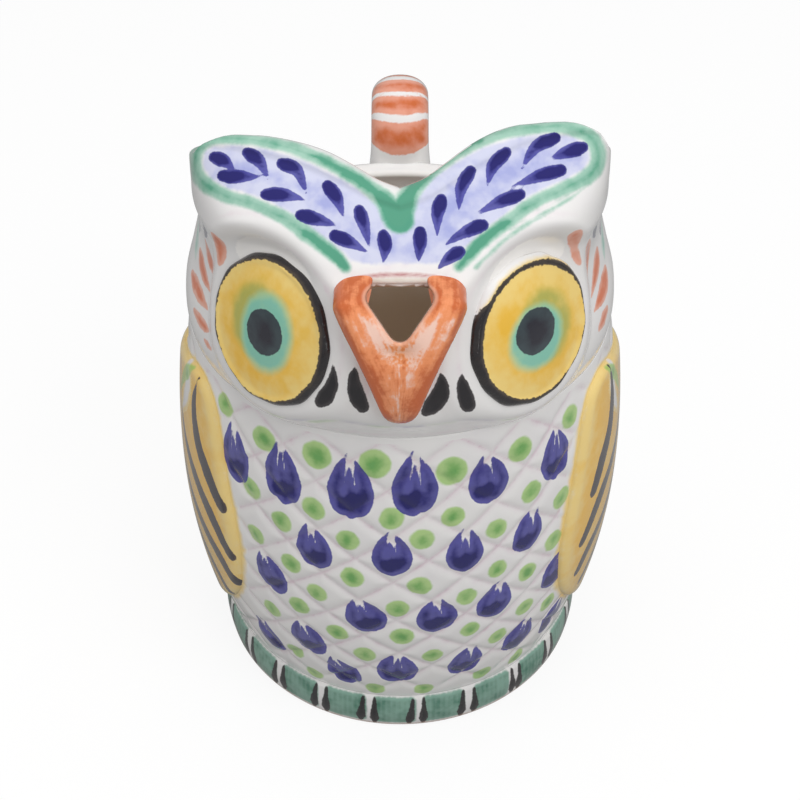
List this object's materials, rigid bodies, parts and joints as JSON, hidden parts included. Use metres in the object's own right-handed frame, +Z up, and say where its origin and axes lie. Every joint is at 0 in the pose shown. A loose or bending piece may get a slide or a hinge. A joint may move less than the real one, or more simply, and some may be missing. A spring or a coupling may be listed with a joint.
{
  "type": "cream jug",
  "caption": "Owl-shaped open cream jug of glazed earthenware with a beak spout, raised brows and wings, a foot ring and a strap handle at the back.",
  "frame": {"origin": "middle of the foot ring's resting face, on the table", "axes": "+Z up, -Y the way the owl faces and the spout points, +X to the right as seen from the front"},
  "size_m": [0.0884, 0.1154, 0.126],
  "materials": {
    "glazed_clay": "glossy white tin glaze painted in cobalt blue, green, yellow, orange and brown-black",
    "bare_clay": "unglazed terracotta under the floor"
  },
  "bodies": {
    "root": {"body_shell": "glazed_clay", "foot_ring": "glazed_clay", "base_floor": "bare_clay", "head_shell": "glazed_clay", "left_brow": "glazed_clay", "right_brow": "glazed_clay", "left_eye": "glazed_clay", "right_eye": "glazed_clay", "beak_spout": "glazed_clay", "left_wing": "glazed_clay", "right_wing": "glazed_clay", "handle": "glazed_clay"}
  },
  "joints": []
}
